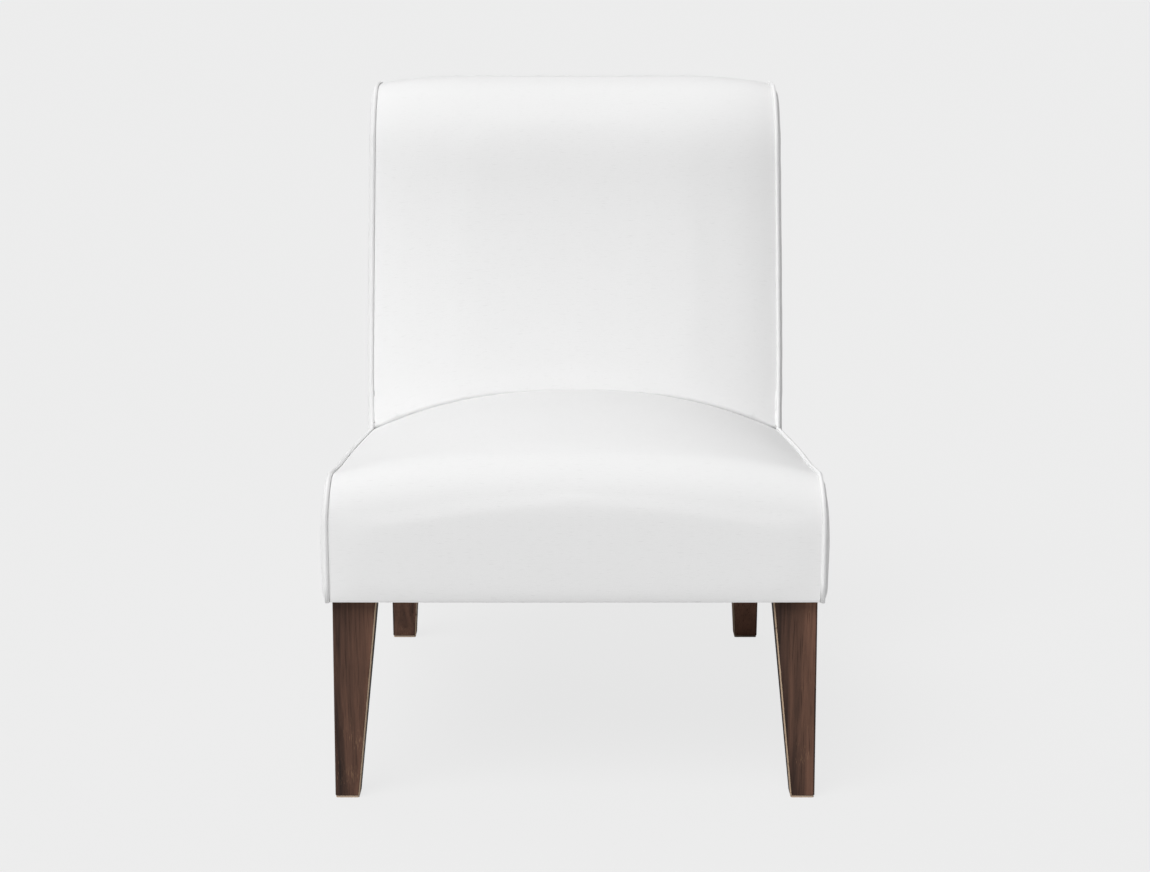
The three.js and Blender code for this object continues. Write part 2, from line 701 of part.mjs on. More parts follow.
// Side covers and their wadding: L-shaped panels with a rounded rim, inside the welt
const side_outline = [
  frontSeam(0), frontSeam(1),
  ...roll_station_shares.map(frontRoll),
  sweep(0),
  ...sweep_station_shares.slice(1).map(sweep),
  ...top_roll_station_shares.map(topRoll),
  ...corner_station_shares.map(rearCorner),
  rearSeam(cover_bottom),
];
const panel_bottom = cover_bottom - cover_edge;
const panel_outline = [spot(0, panel_bottom), ...side_outline.slice(1, -1), rearSeam(panel_bottom)];
const panelRing = (side, inset, depth) => ringAcross(offset(panel_outline, -inset, true), side, depth);

// Rings over the domed face of a side panel, a depth below its outer surface
const domeRings = (side, depth) => rim_station_shares.map((share, i) => panelRing(
  side, cover_edge + depth + share * side_rim, depth - side_bulge * rim_bulge_shares[i]));

for (const [name, side] of sides) {
  const shell = loft([
    ...domeRings(side, cloth).reverse(),
    panelRing(side, cover_edge + cloth, cloth * 2), panelRing(side, cover_edge, cloth * 2),
    ...domeRings(side, 0)]);
  add(`${name}_side_cover`, shell, cover_cloth);
  const wadding = loft([
    panelRing(side, cover_edge + cloth + joint_gap, frame_side - joint_gap),
    ...domeRings(side, cloth + joint_gap)]);
  add(`${name}_side_padding`, wadding, polyester_wadding);
}

// Welts: covered cord along each side seam, from the front bottom corner to the rear bottom corner
function welt(side) {
  const turns = Array.from({ length: welt_sides }, (_, k) => 2 * Math.PI * k / welt_sides);
  const lines = turns.map((turn) => offset(side_outline, welt_radius * Math.cos(turn)));
  return loft(side_outline.map((_, i) => turns.map((turn, k) => {
    const point = lines[k][i];
    const reach = halfWidth(side_outline[i].x, side_outline[i].y) + welt_radius * Math.sin(turn);
    return new THREE.Vector3(side * reach, point.x, point.y);
  })));
}
for (const [name, side] of sides) {
  add(`${name}_welt`, welt(side), welt_cloth);
}

// Dust cover under the frame, notched round the legs
const dust_bottom = cover_bottom + joint_gap;
const notchInner = (leg, front) => topOuter(leg, front) - leg.top_width - dust_notch;
const front_notch = notchInner(front_leg, frame_front);
const front_notch_rear = frame_front + front_leg.top_depth + dust_notch;
const rear_notch = notchInner(rear_leg, rear_leg_front);
const rear_notch_front = rear_leg_front - dust_notch;
const dust_front = cloth + dust_margin;
const dust_rear = bottom_run - cloth - dust_margin;
const edgeAt = (run) => halfWidth(run, cover_bottom) - dust_margin;
const dust_half = [
  [front_notch, dust_front], [front_notch, front_notch_rear],
  [edgeAt(front_notch_rear), front_notch_rear], [edgeAt(rear_notch_front), rear_notch_front],
  [rear_notch, rear_notch_front], [rear_notch, dust_rear],
];
const dust_outline = [...dust_half, ...dust_half.map(([x, y]) => [-x, y]).reverse()];
add('dust_cover', uprightPiece([dust_bottom, dust_bottom + dust_sheet].map(
  (height) => ({ outline: dust_outline, height }))), black_cambric);

// The origin lies on the floor under the middle of the chair.
const extent = new THREE.Box3().setFromObject(chair);
chair.position.y = -(extent.min.y + extent.max.y) / 2;

export default chair;
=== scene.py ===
import math
import bmesh
import bpy
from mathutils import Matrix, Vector, noise
from mathutils.bvhtree import BVHTree


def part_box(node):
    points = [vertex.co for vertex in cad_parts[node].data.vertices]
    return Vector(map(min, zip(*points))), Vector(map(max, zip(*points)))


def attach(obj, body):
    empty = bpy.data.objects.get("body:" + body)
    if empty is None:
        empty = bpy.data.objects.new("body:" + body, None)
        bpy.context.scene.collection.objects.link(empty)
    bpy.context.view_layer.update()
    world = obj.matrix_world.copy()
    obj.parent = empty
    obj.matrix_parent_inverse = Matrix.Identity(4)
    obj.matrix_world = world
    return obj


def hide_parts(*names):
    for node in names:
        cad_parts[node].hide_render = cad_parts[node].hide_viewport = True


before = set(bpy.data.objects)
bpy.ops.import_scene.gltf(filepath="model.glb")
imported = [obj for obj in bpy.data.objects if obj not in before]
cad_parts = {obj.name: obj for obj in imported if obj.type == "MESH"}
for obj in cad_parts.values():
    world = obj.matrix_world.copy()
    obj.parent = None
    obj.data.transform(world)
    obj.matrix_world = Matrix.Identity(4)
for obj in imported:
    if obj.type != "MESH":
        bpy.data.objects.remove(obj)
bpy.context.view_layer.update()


# Frame timbers: planed beech boards and corner blocks, glued and screwed together, with the grain along
# each board. They are hidden once the chair is covered, so the wood is bare.

def linear(code):
    """The colour of a hex code as the linear colour that a shader takes."""
    parts = [int(code[i:i + 2], 16) / 255 for i in (1, 3, 5)]
    return (*(p / 12.92 if p <= 0.04045 else ((p + 0.055) / 1.055) ** 2.4 for p in parts), 1)


def node(material, kind, links=None, **settings):
    """Adds a node to a material, with its settings, and with values or links for its inputs."""
    made = material.node_tree.nodes.new("ShaderNode" + kind)
    for name, value in settings.items():
        setattr(made, name, value)
    for socket, value in (links or {}).items():
        if isinstance(value, bpy.types.NodeSocket):
            material.node_tree.links.new(value, made.inputs[socket])
        else:
            made.inputs[socket].default_value = value
    return made


def blank(name):
    material = bpy.data.materials.new(name)
    material.use_nodes = True
    material.node_tree.nodes.clear()
    return material


def ramp(material, value, low, high, dark, light):
    """A colour that goes from dark to light while the value goes from low to high."""
    share = node(material, "MapRange", {"Value": value, "From Min": low, "From Max": high})
    return node(material, "Mix", {0: share.outputs[0], 6: linear(dark), 7: linear(light)},
                data_type="RGBA").outputs[2]


def planed_beech(name, grain):
    # Pale rings some 6 mm apart, and the brown flecks, under 1 mm wide and 4 mm long, that mark beech out
    wood = blank(name)
    place = node(wood, "TexCoord").outputs["Object"]
    ringed = node(wood, "Mapping", {
        "Vector": place, "Scale": [9 if axis == grain else 160 for axis in "XYZ"]})
    rings = node(wood, "TexNoise", {
        "Vector": ringed.outputs[0], "Scale": 1, "Detail": 4, "Distortion": 0.4})
    flecked = node(wood, "Mapping", {
        "Vector": place, "Scale": [260 if axis == grain else 1400 for axis in "XYZ"]})
    flecks = node(wood, "TexNoise", {"Vector": flecked.outputs[0], "Scale": 1, "Detail": 1})
    tone = ramp(wood, rings.outputs["Fac"], 0.3, 0.7, "#bd966a", "#d8b98f")
    fleck = node(wood, "MapRange", {"Value": flecks.outputs["Fac"], "From Min": 0.6, "From Max": 0.68})
    colour = node(wood, "Mix", {0: fleck.outputs[0], 6: tone, 7: linear("#a27a50")}, data_type="RGBA")
    bump = node(wood, "Bump", {"Height": rings.outputs["Fac"], "Strength": 0.15, "Distance": 0.001})
    shader = node(wood, "BsdfPrincipled", {
        "Base Color": colour.outputs[2], "Roughness": 0.62, "Normal": bump.outputs[0]})
    node(wood, "OutputMaterial", {"Surface": shader.outputs[0]})
    return wood


beech_across = planed_beech("planed_beech_across", "X")
beech_deep = planed_beech("planed_beech_deep", "Y")
beech_upright = planed_beech("planed_beech_upright", "Z")
for rail in ("front_seat_rail", "rear_seat_rail", "back_top_rail", "back_lower_rail"):
    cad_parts[rail].data.materials[0] = beech_across
for side in ("left", "right"):
    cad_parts[f"{side}_seat_rail"].data.materials[0] = beech_deep
    for upright in (f"{side}_back_post", f"front_{side}_block", f"rear_{side}_block"):
        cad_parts[upright].data.materials[0] = beech_upright


# Leg fixings and spring clips: zinc-plated steel. A hanger bolt is screwed into the top of each leg and
# turns into a threaded insert in the block above, and the clips are bent strips nailed to the rails.

def bands(pitch):
    """The scale at which a wave texture's bands lie a pitch in metres apart."""
    return math.pi / 10 / pitch


def zinc_plate(name, thread_pitch=None):
    # Bluish plate, cloudy over some 4 mm, which mirrors the room only softly, and a rolled thread where
    # there is one
    plate = blank(name)
    place = node(plate, "TexCoord").outputs["Object"]
    clouds = node(plate, "TexNoise", {"Vector": place, "Scale": 260, "Detail": 3})
    colour = ramp(plate, clouds.outputs["Fac"], 0.35, 0.65, "#a9adb2", "#c9ccd0")
    rough = node(plate, "MapRange", {
        "Value": clouds.outputs["Fac"], "From Min": 0.3, "From Max": 0.7, "To Min": 0.28, "To Max": 0.42})
    relief = {"Height": clouds.outputs["Fac"], "Strength": 0.1, "Distance": 0.0002}
    if thread_pitch:
        thread = node(plate, "TexWave", {"Vector": place, "Scale": bands(thread_pitch)},
                      bands_direction="Z", wave_profile="TRI")
        relief = {"Height": thread.outputs["Fac"], "Strength": 0.8, "Distance": 0.0006}
    bump = node(plate, "Bump", relief)
    shader = node(plate, "BsdfPrincipled", {
        "Base Color": colour, "Metallic": 1, "Roughness": rough.outputs[0], "Normal": bump.outputs[0]})
    node(plate, "OutputMaterial", {"Surface": shader.outputs[0]})
    return plate


bolt_thread = 0.00125
threaded_zinc = zinc_plate("threaded_zinc", bolt_thread)
plain_zinc = zinc_plate("plain_zinc")
for corner in ("front_left", "front_right", "rear_left", "rear_right"):
    for part in ("hanger_bolt", "threaded_insert"):
        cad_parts[f"{corner}_{part}"].data.materials[0] = threaded_zinc
for row in ("front", "rear"):
    for k in range(1, 5):
        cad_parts[f"{row}_spring_clip_{k}"].data.materials[0] = plain_zinc


# Legs: tapered square legs of solid wood in a dark walnut stain under a thin, dull varnish. Light and shade
# are painted into the stain: each front is lighter on its right half than its left, the inner sides are
# darker as painted shade, and the rear right leg is lighter to make up for the shade it stands in. The
# stain has rubbed through to golden wood, mostly along each leg's inner front edge. The rear pair rakes
# back.

def welded(name):
    """A CAD node's mesh, which is loose triangles, as one skin to work on."""
    shape = bmesh.new()
    shape.from_mesh(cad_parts[name].data)
    bmesh.ops.remove_doubles(shape, verts=shape.verts, dist=1e-5)
    return shape


def piece(name, shape, material, slot, *stands_for):
    """Makes a shape a piece of the chair that stands for CAD nodes."""
    mesh = bpy.data.meshes.new(name)
    shape.to_mesh(mesh)
    shape.free()
    mesh.shade_smooth()
    mesh.materials.append(material)
    made = bpy.data.objects.new(name, mesh)
    bpy.context.scene.collection.objects.link(made)
    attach(made, "root")
    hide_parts(*stands_for)
    return made


def walnut_stain():
    # Stain sinks into the pores as dark upright lines, drawn 1 mm wide so that they can be seen, though the
    # real ones are finer, and lies unevenly over the figure in streaks 9 mm wide
    wood = blank("walnut_stain")
    place = node(wood, "TexCoord").outputs["Object"]
    drawn = node(wood, "Mapping", {"Vector": place, "Scale": (110, 110, 6)})
    figure = node(wood, "TexNoise", {
        "Vector": drawn.outputs[0], "Scale": 1, "Detail": 4, "Roughness": 0.6, "Distortion": 0.5})
    fine = node(wood, "Mapping", {"Vector": place, "Scale": (900, 900, 28)})
    pores = node(wood, "TexNoise", {"Vector": fine.outputs[0], "Scale": 1, "Detail": 2})
    # Painted light and shade are added to the figure here: higher where a leg's face is painted lighter,
    # lower where it is painted in shade
    painted_light_level = node(wood, "Attribute", attribute_name="painted_light")
    figure_and_painted_light = node(wood, "Math", {0: painted_light_level.outputs["Fac"], 1: 0.4, 2: figure.outputs["Fac"]},
                  operation="MULTIPLY_ADD")
    tone = ramp(wood, figure_and_painted_light.outputs[0], 0.4, 1.3, "#29201d", "#825e4d")
    pore = node(wood, "MapRange", {
        "Value": pores.outputs["Fac"], "From Min": 0.56, "From Max": 0.72, "To Max": 0.6})
    stained = node(wood, "Mix", {0: pore.outputs[0], 6: tone, 7: linear("#291b16")}, data_type="RGBA")
    # Pale scratches under 1 mm wide, in patches of 40 mm, along and a little across the grain
    patch = node(wood, "TexNoise", {"Vector": place, "Scale": 26, "Detail": 1})
    slanted = node(wood, "Mapping", {
        "Vector": place, "Rotation": (0, 0.35, 0), "Scale": (1500, 1500, 110)})
    lines = node(wood, "TexNoise", {"Vector": slanted.outputs[0], "Scale": 1, "Detail": 1})
    struck = node(wood, "Math", {0: patch.outputs["Fac"], 1: lines.outputs["Fac"]}, operation="MULTIPLY")
    scratch = node(wood, "MapRange", {
        "Value": struck.outputs[0], "From Min": 0.41, "From Max": 0.5, "To Max": 0.6})
    scuffed = node(wood, "Mix", {0: scratch.outputs[0], 6: stained.outputs[2], 7: linear("#93735a")},
                   data_type="RGBA")
    # Golden wood shows where the wear attribute is high, broken up every 8 mm along the edge
    worn = node(wood, "Attribute", attribute_name="wear")
    patches = node(wood, "TexNoise", {"Vector": place, "Scale": 130, "Detail": 3})
    level = node(wood, "Math", {0: patches.outputs["Fac"], 1: 0.6, 2: worn.outputs["Fac"]},
                 operation="MULTIPLY_ADD")
    rub = node(wood, "MapRange", {"Value": level.outputs[0], "From Min": 1.12, "From Max": 1.22})
    colour = node(wood, "Mix", {0: rub.outputs[0], 6: scuffed.outputs[2], 7: linear("#b59e86")},
                  data_type="RGBA")
    rough = node(wood, "MapRange", {
        "Value": figure.outputs["Fac"], "From Min": 0.3, "From Max": 0.7, "To Min": 0.62, "To Max": 0.5})
    bump = node(wood, "Bump", {"Height": pores.outputs["Fac"], "Strength": 0.2, "Distance": 0.0003})
    shader = node(wood, "BsdfPrincipled", {
        "Base Color": colour.outputs[2], "Roughness": rough.outputs[0], "Specular IOR Level": 0.12,
        "Normal": bump.outputs[0]})
    node(wood, "OutputMaterial", {"Surface": shader.outputs[0]})
    return wood


stained_walnut = walnut_stain()
least_broad_area = 0.003
same_height = 0.02
worn_width = 0.0011
bare_edge, dulled_edge = 1, 0.62
# Painted light and shade in the stain's tone: from 0 on the left half of each front, painted darker, to 1
# on its right half, painted lighter; the inner sides are painted darker as shade, the outer sides a little
# lighter
painted_light_rear = {"rear_left": 0.7, "rear_right": 2.0}
painted_light_inner_side, painted_light_outer_side = -0.6, 0.2
inner_spread, outer_spread = -0.003, 0.001
eased_edge = 0.0007
for corner in ("front_left", "front_right", "rear_left", "rear_right"):
    leg = welded(f"{corner}_leg")
    wear = leg.verts.layers.float.new("wear")
    painted_light = leg.verts.layers.float.new("painted_light")
    bmesh.ops.dissolve_limit(leg, angle_limit=math.radians(0.5), verts=leg.verts, edges=leg.edges)
    broad = [face for face in leg.faces if face.calc_area() > least_broad_area]
    bmesh.ops.inset_individual(leg, faces=broad, thickness=worn_width, use_even_offset=True)
    # Each broad face keeps its even stain inside a narrow worn rim
    broad = [face for face in leg.faces if face.calc_area() > least_broad_area]
    flats = {vert for face in broad for vert in face.verts}
    for vert in leg.verts:
        level = [other.co for other in leg.verts if abs(other.co.z - vert.co.z) < same_height]
        middle = sum(level, Vector()) / len(level)
        inner = abs(vert.co.x) < abs(middle.x)
        if vert not in flats:
            vert[wear] = bare_edge if inner and vert.co.y < middle.y else dulled_edge
    for face in broad:
        middle = face.calc_center_median()
        faces_front = face.normal.y < -0.7
        faces_inwards = face.normal.x * middle.x < 0
        for vert in face.verts:
            # The rear legs are painted evenly, the right one lighter to make up for the shade that it
            # stands in
            if corner in painted_light_rear:
                vert[painted_light] = painted_light_rear[corner]
            elif faces_front:
                vert[painted_light] = float(vert.co.x > middle.x)
            else:
                vert[painted_light] = painted_light_inner_side if faces_inwards else painted_light_outer_side
    if corner.startswith("front"):
        # The fronts spread a little towards the top
        height = max(vert.co.z for vert in leg.verts)
        for vert in leg.verts:
            level = [other.co.x for other in leg.verts if abs(other.co.z - vert.co.z) < same_height]
            outer = abs(vert.co.x) > abs(sum(level) / len(level))
            outwards = math.copysign(1, vert.co.x)
            vert.co.x += (outer_spread if outer else inner_spread) * outwards * vert.co.z / height
    made = piece(f"{corner}_leg_stained", leg, stained_walnut, "stained_walnut", f"{corner}_leg")
    eased = made.modifiers.new("eased", "BEVEL")
    eased.width = eased_edge
    eased.segments = 2
    eased.limit_method = "ANGLE"
    eased.angle_limit = math.radians(30)


# Foot pads: squares of pale hard felt, glued under the feet and a little smaller than they are, so that
# the legs neither scratch the floor nor scrape on it.

def pressed_felt(name, dark, light, fibre_scale):
    # Short fibres pressed flat, 1 to 2 mm in the render, so the colour varies only a little and nothing
    # shines
    felt = blank(name)
    place = node(felt, "TexCoord").outputs["Object"]
    fibres = node(felt, "TexNoise", {
        "Vector": place, "Scale": fibre_scale, "Detail": 5, "Roughness": 0.7, "Distortion": 1.5})
    colour = ramp(felt, fibres.outputs["Fac"], 0.3, 0.7, dark, light)
    bump = node(felt, "Bump", {"Height": fibres.outputs["Fac"], "Strength": 0.5, "Distance": 0.0006})
    shader = node(felt, "BsdfPrincipled", {
        "Base Color": colour, "Roughness": 0.95, "Sheen Weight": 0.2, "Normal": bump.outputs[0]})
    node(felt, "OutputMaterial", {"Surface": shader.outputs[0]})
    return felt


pad_felt = pressed_felt("pad_felt", "#a8917c", "#c4b09c", 900)
for corner in ("front_left", "front_right", "rear_left", "rear_right"):
    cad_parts[f"{corner}_foot_pad"].data.materials[0] = pad_felt


# Seat springs: four zigzags of round spring wire, 3.8 mm thick, which arch from the front rail to the rear
# rail and are held in the clips at both ends.

def oiled_spring_steel():
    # Blue-grey scale from the tempering oven, darker in patches some 8 mm wide
    steel = blank("oiled_spring_steel")
    place = node(steel, "TexCoord").outputs["Object"]
    scale = node(steel, "TexNoise", {"Vector": place, "Scale": 120, "Detail": 4, "Roughness": 0.65})
    colour = ramp(steel, scale.outputs["Fac"], 0.35, 0.65, "#5b5f66", "#8f949b")
    bump = node(steel, "Bump", {"Height": scale.outputs["Fac"], "Strength": 0.15, "Distance": 0.0002})
    shader = node(steel, "BsdfPrincipled", {
        "Base Color": colour, "Metallic": 1, "Roughness": 0.38, "Normal": bump.outputs[0]})
    node(steel, "OutputMaterial", {"Surface": shader.outputs[0]})
    return steel


def squared(shape, bend=60, skew=120):
    """Joins a shape's triangles in pairs, up to a bend and a skew in degrees."""
    bmesh.ops.join_triangles(shape, faces=shape.faces, angle_face_threshold=math.radians(bend),
                             angle_shape_threshold=math.radians(skew))


def smoothed(made, levels):
    """Subdivides a piece and keeps the result as its mesh."""
    finer = made.modifiers.new("finer", "SUBSURF")
    finer.levels = finer.render_levels = levels
    finer.boundary_smooth = "PRESERVE_CORNERS"
    ready = made.evaluated_get(bpy.context.evaluated_depsgraph_get())
    mesh = bpy.data.meshes.new_from_object(ready)
    made.modifiers.clear()
    coarse = made.data
    made.data = mesh
    bpy.data.meshes.remove(coarse)


def plumped(made, growth):
    """Moves the whole surface out, to give back what the subdivision took off."""
    normals = [vert.normal.copy() for vert in made.data.vertices]
    for vert, normal in zip(made.data.vertices, normals):
        vert.co += normal * growth


spring_steel = oiled_spring_steel()
wire_loss = 0.0004
for k in range(1, 5):
    wire = welded(f"seat_spring_{k}")
    squared(wire)
    made = piece(f"seat_spring_{k}_wire", wire, spring_steel, "spring_steel", f"seat_spring_{k}")
    smoothed(made, 1)
    plumped(made, wire_loss)


# Spring insulator: a sheet of grey needled felt over the springs, stapled along the rails, that keeps the
# foam from being pressed between them.

fold_angle = math.radians(50)


def soft_copy(name, new_name, material, slot, levels, keep_edges):
    """A soft CAD node as a finer, rounder piece; keep_edges holds its sharp edges, up to 1."""
    shape = welded(name)
    squared(shape, 40, 90)
    crease = shape.edges.layers.float.new("crease_edge")
    for edge in shape.edges:
        if edge.calc_face_angle(0) > fold_angle:
            edge[crease] = keep_edges
    made = piece(new_name, shape, material, slot, name)
    smoothed(made, levels)
    return made


grey_felt = pressed_felt("grey_felt", "#7f7b72", "#a8a39a", 500)
insulator = soft_copy("spring_insulator", "spring_insulator_felt", grey_felt, "felt", 2, 0.7)


# Back webbing: three straps of jute webbing, 50 mm wide, pulled tight over the faces of the back posts
# and tacked there.

def jute_weave():
    # Coarse brown yarn, woven 2 mm apart in the strap's own two directions
    jute = blank("jute_weave")
    place = node(jute, "TexCoord").outputs["Object"]
    yarn_pitch = 0.002
    across = node(jute, "TexWave", {
        "Vector": place, "Scale": bands(yarn_pitch), "Distortion": 0.6, "Detail": 1}, bands_direction="X")
    upward = node(jute, "TexWave", {
        "Vector": place, "Scale": bands(yarn_pitch), "Distortion": 0.6, "Detail": 1}, bands_direction="Z")
    yarn = node(jute, "Math", {0: across.outputs["Fac"], 1: upward.outputs["Fac"]}, operation="MULTIPLY")
    hairs = node(jute, "TexNoise", {"Vector": place, "Scale": 700, "Detail": 4})
    mixed = node(jute, "Math", {0: yarn.outputs[0], 1: hairs.outputs["Fac"]}, operation="ADD")
    colour = ramp(jute, mixed.outputs[0], 0.45, 1.2, "#6f5a38", "#b89c6c")
    bump = node(jute, "Bump", {"Height": mixed.outputs[0], "Strength": 0.8, "Distance": 0.0008})
    shader = node(jute, "BsdfPrincipled", {
        "Base Color": colour, "Roughness": 0.9, "Normal": bump.outputs[0]})
    node(jute, "OutputMaterial", {"Surface": shader.outputs[0]})
    return jute


jute = jute_weave()
for k in range(1, 4):
    strap = soft_copy(f"back_webbing_{k}", f"back_webbing_{k}_strap", jute, "jute", 2, 1.0)


# Foams: two blocks of cream upholstery foam, cut to shape. The seat's is crowned and rolls down over the
# front rail, the back's lies over the webbing and the top rail, and both are glued to the frame.

def cut_foam():
    # Open cells of about 1 mm, drawn at twice that so that they can be seen, and yellowed in patches some
    # 70 mm wide
    foam = blank("cut_foam")
    place = node(foam, "TexCoord").outputs["Object"]
    cells = node(foam, "TexVoronoi", {"Vector": place, "Scale": 480}, feature="DISTANCE_TO_EDGE")
    patches = node(foam, "TexNoise", {"Vector": place, "Scale": 14, "Detail": 3})
    colour = ramp(foam, patches.outputs["Fac"], 0.35, 0.65, "#e6dba9", "#f0e8c4")
    bump = node(foam, "Bump", {"Height": cells.outputs["Distance"], "Strength": 0.6, "Distance": 0.001})
    shader = node(foam, "BsdfPrincipled", {
        "Base Color": colour, "Roughness": 0.95, "Subsurface Weight": 0.1, "Normal": bump.outputs[0]})
    node(foam, "OutputMaterial", {"Surface": shader.outputs[0]})
    return foam


# How far the padded sides stand out from the frame, in millimetres, along their outline (y, z in metres)
# from the bottom of the front to the top of the back: they bow out between corners that pull in
proud_sides = (
    (-0.341, 0.240, 0.9), (-0.341, 0.262, 1.2), (-0.341, 0.274, 1.7), (-0.341, 0.289, 2.3),
    (-0.341, 0.303, 2.6), (-0.341, 0.318, 2.2), (-0.341, 0.332, 1.7), (-0.339, 0.342, 1.0),
    (-0.335, 0.352, 0.1), (-0.315, 0.361, -0.8), (-0.280, 0.365, -2.6), (-0.250, 0.364, -3.2),
    (-0.220, 0.363, -2.6), (-0.190, 0.362, -1.6), (-0.160, 0.361, -0.8), (-0.100, 0.360, -0.1),
    (-0.250, 0.320, 0.3), (-0.150, 0.320, 0.0), (-0.020, 0.356, 0.0), (0.060, 0.349, -0.2),
    (0.130, 0.339, -0.8), (0.136, 0.360, -0.3), (0.146, 0.400, 1.5), (0.158, 0.450, 2.7),
    (0.172, 0.500, 3.3), (0.190, 0.560, 3.7), (0.210, 0.620, 3.3), (0.223, 0.660, 2.9),
    (0.236, 0.700, 2.1), (0.252, 0.750, 1.4), (0.262, 0.790, 1.3))


padded_half_width = 0.27


def let_out(verts):
    """Widens or narrows a soft piece to the padded outline that proud_sides gives."""
    for vert in verts:
        near = [(((vert.co.y - y) ** 2 + (vert.co.z - z) ** 2 + 1e-4) ** -2, proud)
                for y, z, proud in proud_sides]
        proud = sum(weight * much for weight, much in near) / sum(weight for weight, much in near)
        vert.co.x *= 1 + proud / 1000 / padded_half_width


# The padding is pressed down along the top of the back: by how much, in millimetres, at each distance in
# metres from the chair's middle. The dip grows from nothing to that between two heights.
top_dips = ((0, 5.7), (0.1, 5.5), (0.17, 4.0), (0.225, 2.6), (0.25, 2.2), (0.275, 4.2), (0.3, 4.2))
dip_begins, dip_is_whole = 0.77, 0.802


def dipped(verts):
    """Lowers what lies along the top of the back by top_dips."""
    for vert in verts:
        aside = abs(vert.co.x)
        for (near, first), (far, last) in zip(top_dips, top_dips[1:]):
            if near <= aside < far and vert.co.z > dip_begins:
                dip = first + (last - first) * (aside - near) / (far - near)
                share = min(1, (vert.co.z - dip_begins) / (dip_is_whole - dip_begins))
                vert.co.z -= dip / 1000 * share
                break


foam = cut_foam()
for part in ("seat_foam", "back_foam"):
    block = soft_copy(part, f"{part}_block", foam, "upholstery_foam", 1, 0.8)
    let_out(block.data.vertices)
    dipped(block.data.vertices)


# Wadding: sheets of white polyester wadding behind the outside back cover and under each side cover,
# which keep the timber's edges from showing through the cloth.

def lofty_wadding():
    # Tangled white fibres in tufts of 4 mm, which catch the light on their loose ends
    wadding = blank("lofty_wadding")
    place = node(wadding, "TexCoord").outputs["Object"]
    tangle = node(wadding, "TexNoise", {
        "Vector": place, "Scale": 240, "Detail": 6, "Roughness": 0.7, "Distortion": 2})
    colour = ramp(wadding, tangle.outputs["Fac"], 0.3, 0.7, "#dcdad4", "#f4f3ef")
    bump = node(wadding, "Bump", {"Height": tangle.outputs["Fac"], "Strength": 0.7, "Distance": 0.002})
    shader = node(wadding, "BsdfPrincipled", {
        "Base Color": colour, "Roughness": 0.95, "Sheen Weight": 0.4, "Normal": bump.outputs[0]})
    node(wadding, "OutputMaterial", {"Surface": shader.outputs[0]})
    return wadding


def cut_in_squares(shape, node_name, axes, step):
    """Cuts a shape's flat faces into a grid, which lets them be bent; axes are the two ways across it."""
    low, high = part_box(node_name)
    for axis in axes:
        count = round((high[axis] - low[axis]) / step)
        for k in range(1, count):
            place = low.lerp(high, k / count)
            square = Vector()
            square[axis] = 1
            bmesh.ops.bisect_plane(shape, geom=[*shape.verts, *shape.edges, *shape.faces], dist=1e-6,
                                   plane_co=place, plane_no=square)


wadding = lofty_wadding()
tuft_height = 0.0008
tufts_per_metre = 60
wadding_step = 0.012
for part, axes in (("outside_back_padding", (0, 2)), ("left_side_padding", (1, 2)),
                   ("right_side_padding", (1, 2))):
    layer = welded(part)
    bmesh.ops.dissolve_limit(layer, angle_limit=math.radians(1), verts=layer.verts, edges=layer.edges)
    cut_in_squares(layer, part, axes, wadding_step)
    layer.normal_update()
    for vert in layer.verts:
        vert.co -= vert.normal * tuft_height * (0.5 + 0.5 * noise.noise(vert.co * tufts_per_metre))
    let_out(layer.verts)
    dipped(layer.verts)
    piece(f"{part}_layer", layer, wadding, "wadding", part)


# Dust cover: thin black spunbonded cloth under the seat frame, stapled up all round and cut out at the
# legs. It hides the springs and keeps the dust in.

def black_cambric():
    # Pressed with a grid of small dots, 1.5 mm apart, that bind its fibres
    cloth = blank("black_cambric")
    place = node(cloth, "TexCoord").outputs["Object"]
    dots = node(cloth, "TexVoronoi", {"Vector": place, "Scale": 650, "Randomness": 0.0})
    fibres = node(cloth, "TexNoise", {"Vector": place, "Scale": 800, "Detail": 3, "Distortion": 2})
    colour = ramp(cloth, fibres.outputs["Fac"], 0.35, 0.65, "#141416", "#242427")
    bump = node(cloth, "Bump", {"Height": dots.outputs["Distance"], "Strength": 0.4, "Distance": 0.0003})
    shader = node(cloth, "BsdfPrincipled", {
        "Base Color": colour, "Roughness": 0.8, "Sheen Weight": 0.1, "Normal": bump.outputs[0]})
    node(cloth, "OutputMaterial", {"Surface": shader.outputs[0]})
    return cloth


cambric = black_cambric()
dust = soft_copy("dust_cover", "dust_cover_cambric", cambric, "cambric", 1, 1.0)


# Covers: plain white cloth, close-woven, cut to shape, sewn to the welts along the side seams and pulled
# tight over the foams. The seat cover runs in one piece from under the back to the bottom of the front.

